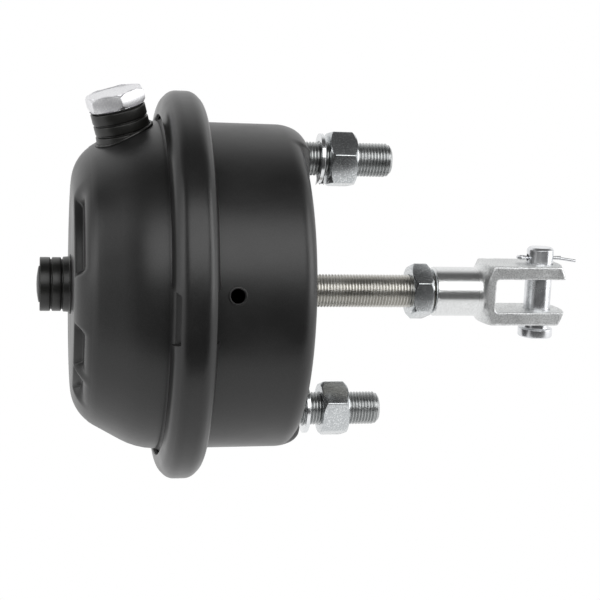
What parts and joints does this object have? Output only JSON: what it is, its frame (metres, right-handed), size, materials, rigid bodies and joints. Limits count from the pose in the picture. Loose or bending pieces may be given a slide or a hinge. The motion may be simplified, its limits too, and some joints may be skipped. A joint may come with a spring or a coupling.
{
  "type": "air brake chamber",
  "caption": "Round diaphragm air brake chamber with a rolled clamp ring, grooved air ports, mounting studs with nuts, and a threaded push rod that carries a clevis with its pin and split pin.",
  "frame": {"origin": "centre of the mounting face, the flat end of the spring side shell, on the shells' axis", "axes": "+X along the shells' axis toward the clevis, +Z through the upper stud, -Y toward the side that carries the vent"},
  "size_m": [0.2601, 0.1796, 0.1824],
  "materials": {
    "shell_paint": "satin black paint",
    "boss_paint": "semi-gloss black paint",
    "plug_steel": "bright galvanised steel",
    "dust_plastic": "matte black plastic",
    "seal_rubber": "matte",
    "diaphragm_rubber": "matte, fabric reinforced",
    "stud_steel": "zinc plated thread",
    "nut_steel": "grey zinc plated",
    "washer_steel": "zinc plated spring steel",
    "plate_steel": "black primer",
    "guide_plastic": "matte black nylon",
    "spring_steel": "oiled spring steel",
    "push_plate_steel": "zinc plated pressing",
    "rod_steel": "zinc plated thread",
    "clevis_steel": "zinc plated forging",
    "pin_steel": "bright zinc plated",
    "split_pin_steel": "zinc plated wire"
  },
  "bodies": {
    "housing": {"pressure_shell": "shell_paint", "spring_shell": "shell_paint", "clamp_ring": "shell_paint", "end_port_boss": "boss_paint", "side_port_boss": "boss_paint", "end_port_dust_plug": "dust_plastic", "side_port_plug": "plug_steel", "side_port_seal_ring": "seal_rubber", "diaphragm": "diaphragm_rubber", "stud_plate": "plate_steel", "upper_stud": "stud_steel", "lower_stud": "stud_steel", "upper_stud_nut": "nut_steel", "lower_stud_nut": "nut_steel", "upper_spring_washer": "washer_steel", "lower_spring_washer": "washer_steel", "rod_guide": "guide_plastic", "return_spring": "spring_steel"},
    "rod": {"push_plate": "push_plate_steel", "push_rod": "rod_steel", "lock_nut": "nut_steel", "clevis": "clevis_steel"},
    "pin": {"clevis_pin": "pin_steel", "split_pin": "split_pin_steel"}
  },
  "joints": [
    {"name": "push_rod_stroke", "type": "slide", "parent": "housing", "child": "rod", "axis": [1, 0, 0], "range_m": [0, 0.057], "stiffness_N_per_m": 1200, "springref_m": -0.05, "deforming": ["return_spring", "diaphragm"]},
    {"name": "clevis_pin_turn", "type": "hinge", "parent": "rod", "child": "pin", "pos_m": [0.1218, 0, -0.0024], "axis": [0, 0, 1], "continuous": true}
  ]
}
